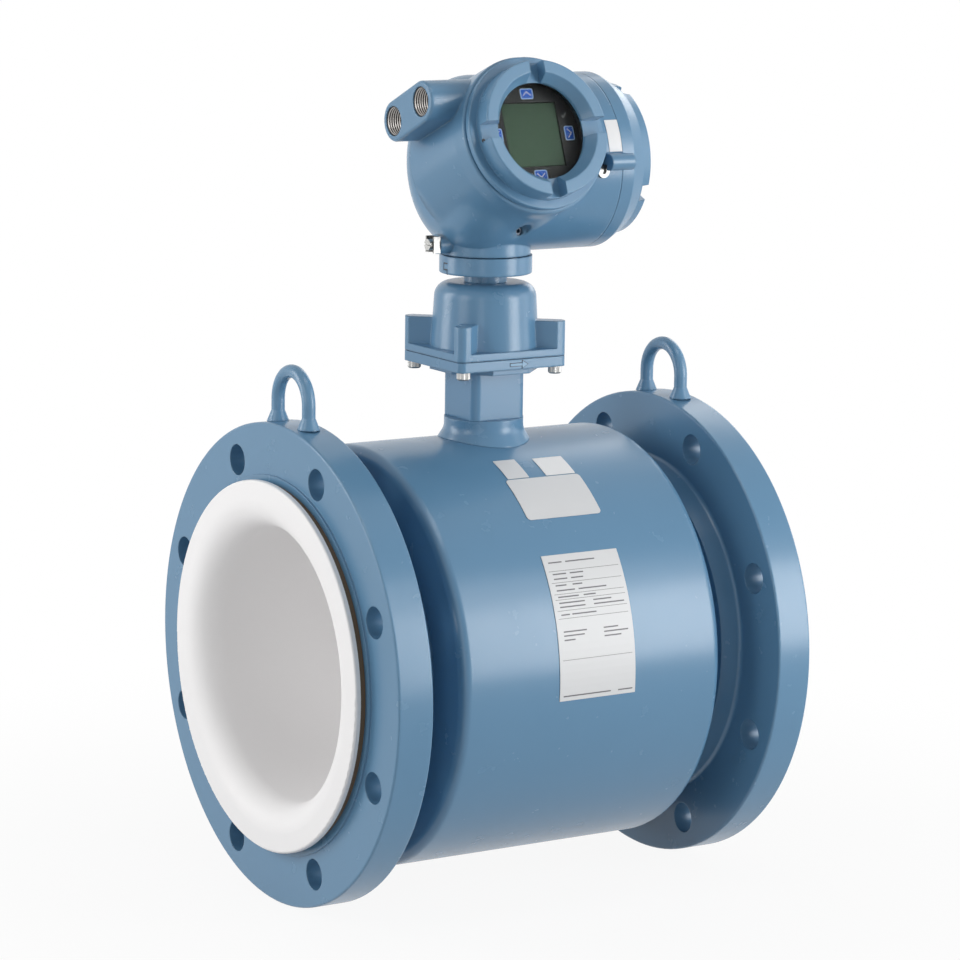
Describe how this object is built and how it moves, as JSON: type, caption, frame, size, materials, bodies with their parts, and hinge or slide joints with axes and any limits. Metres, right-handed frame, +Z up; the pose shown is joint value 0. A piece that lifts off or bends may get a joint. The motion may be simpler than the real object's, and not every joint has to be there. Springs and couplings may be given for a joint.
{
  "type": "electromagnetic flow meter",
  "caption": "Flanged full-bore electromagnetic flow sensor with a lined tube, drum coil housing and neck, carrying a turning transmitter head with a round display and screwed covers.",
  "frame": {"origin": "centre of the bore, halfway between the two flanges", "axes": "+X along the bore in the direction of flow, -Y towards the display, +Z up the neck"},
  "size_m": [0.36, 0.343, 0.5957],
  "materials": {
    "blue_paint": "satin enamel",
    "stainless": "brushed",
    "white_liner": "smooth matte",
    "brown_ring": "matte",
    "soft_iron": "plain",
    "copper": "enamelled winding",
    "electrode_alloy": "polished",
    "insulator": "moulded",
    "screw_steel": "bright",
    "rubber": "plain",
    "board": "plain",
    "black_plastic": "moulded",
    "display": "display",
    "keys": "printed",
    "window_glass": "clear"
  },
  "bodies": {
    "sensor": {"flow_tube": "stainless", "liner": "white_liner", "upstream_flange": "blue_paint", "downstream_flange": "blue_paint", "upstream_flare_ring": "brown_ring", "downstream_flare_ring": "brown_ring", "upstream_lifting_eye": "blue_paint", "downstream_lifting_eye": "blue_paint", "coil_housing": "blue_paint", "upper_pole_piece": "soft_iron", "lower_pole_piece": "soft_iron", "upper_coil": "copper", "lower_coil": "copper", "flux_return_band": "soft_iron", "near_electrode": "electrode_alloy", "far_electrode": "electrode_alloy", "near_electrode_insulator": "insulator", "far_electrode_insulator": "insulator", "electrode_nuts": "screw_steel", "neck_collar": "blue_paint", "neck_column": "blue_paint", "neck_base": "blue_paint", "neck_gasket": "rubber", "neck_bell": "blue_paint", "neck_screws": "screw_steel", "joint_band": "blue_paint", "neck_connection_board": "board"},
    "head": {"head_housing": "blue_paint", "cover_lock_screw": "screw_steel", "swivel_lock_screw": "screw_steel", "ground_clamp": "screw_steel", "ground_screw": "screw_steel", "electronics_module": "black_plastic", "display_module": "black_plastic", "display_panel": "display", "display_keys": "keys", "terminal_block": "insulator", "terminal_screws": "screw_steel"},
    "front_seal": {"front_o_ring": "rubber"},
    "front_lid": {"front_cover": "blue_paint", "front_window": "window_glass", "window_seal": "rubber", "window_retainer": "screw_steel"},
    "rear_seal": {"rear_o_ring": "rubber"},
    "rear_lid": {"rear_cover": "blue_paint"}
  },
  "joints": [
    {"name": "head_turn", "type": "hinge", "parent": "sensor", "child": "head", "pos_m": [0, 0, 0.2826], "axis": [0, 0, 1], "range_deg": [-180, 180]},
    {"name": "front_cover_travel", "type": "slide", "parent": "head", "child": "front_seal", "axis": [0, -0.9348, 0.3551], "range_m": [0, 0.0121]},
    {"name": "front_cover_turn", "type": "hinge", "parent": "front_seal", "child": "front_lid", "pos_m": [0.003, 0, 0.35], "axis": [0, -0.9348, 0.3551], "range_deg": [0, 2160]},
    {"name": "rear_cover_travel", "type": "slide", "parent": "head", "child": "rear_seal", "axis": [1, 0, 0], "range_m": [0, 0.0121]},
    {"name": "rear_cover_turn", "type": "hinge", "parent": "rear_seal", "child": "rear_lid", "pos_m": [0.074, 0, 0.3464], "axis": [1, 0, 0], "range_deg": [0, 2160]}
  ],
  "couplings": [
    {"joint": "front_cover_travel", "follows": "front_cover_turn", "m_per_rad": 0.00031831},
    {"joint": "rear_cover_travel", "follows": "rear_cover_turn", "m_per_rad": 0.00031831}
  ]
}
